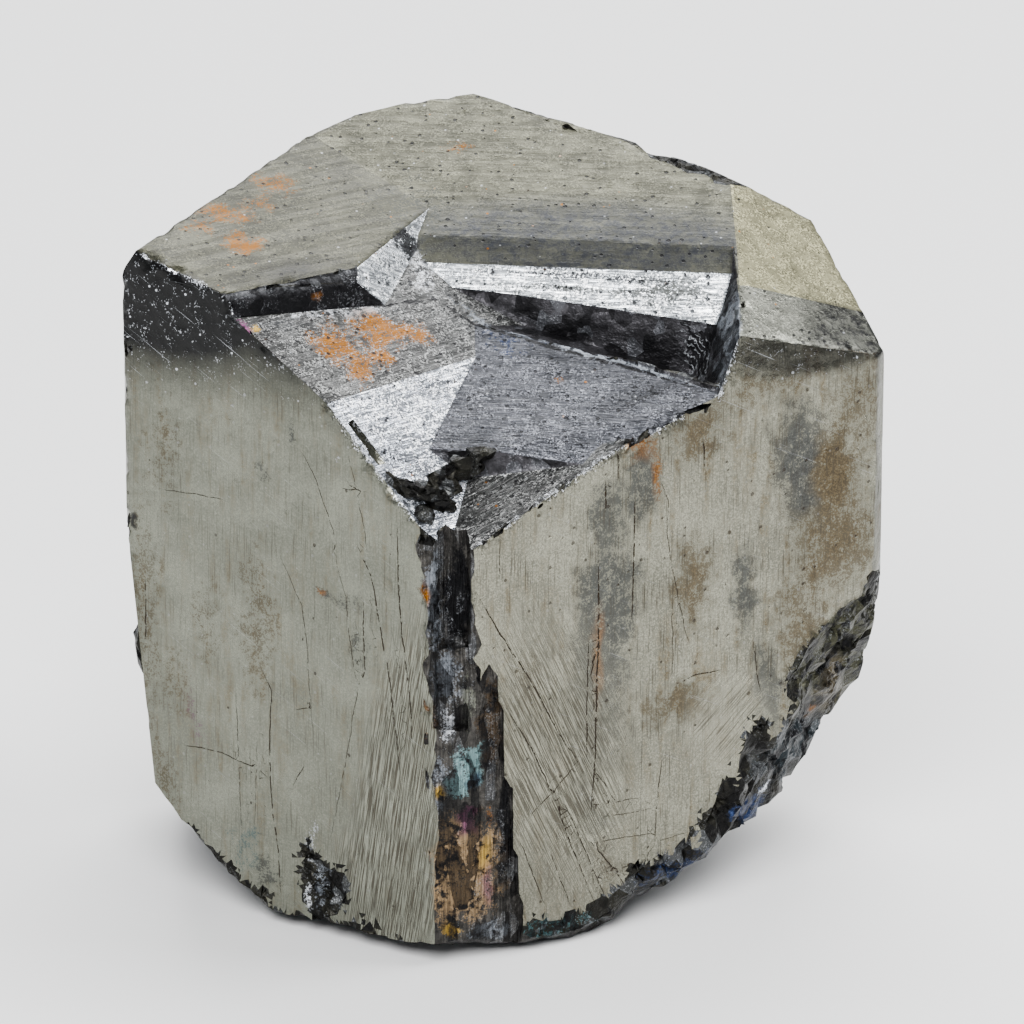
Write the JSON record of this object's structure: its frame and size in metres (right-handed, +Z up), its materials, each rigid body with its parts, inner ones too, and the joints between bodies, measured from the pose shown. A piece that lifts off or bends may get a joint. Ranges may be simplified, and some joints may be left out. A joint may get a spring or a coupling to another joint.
{
  "type": "columbite crystal",
  "caption": "Blocky crystal of columbite with large flat prism faces, a stepped slanting top and a fractured foot, for display.",
  "frame": {"origin": "middle of the bounding box's underside, on the surface that the crystal rests on", "axes": "+Z up along the crystal's prism, -Y towards the broken front corner where the two large faces meet, +X to the right seen from the front"},
  "size_m": [0.0418, 0.0333, 0.0408],
  "materials": {
    "columbite": "dark grey to olive-grey oxide with a submetallic shine, tarnished brown and bluish in places"
  },
  "bodies": {
    "root": {"columbite_crystal": "columbite"}
  },
  "joints": []
}
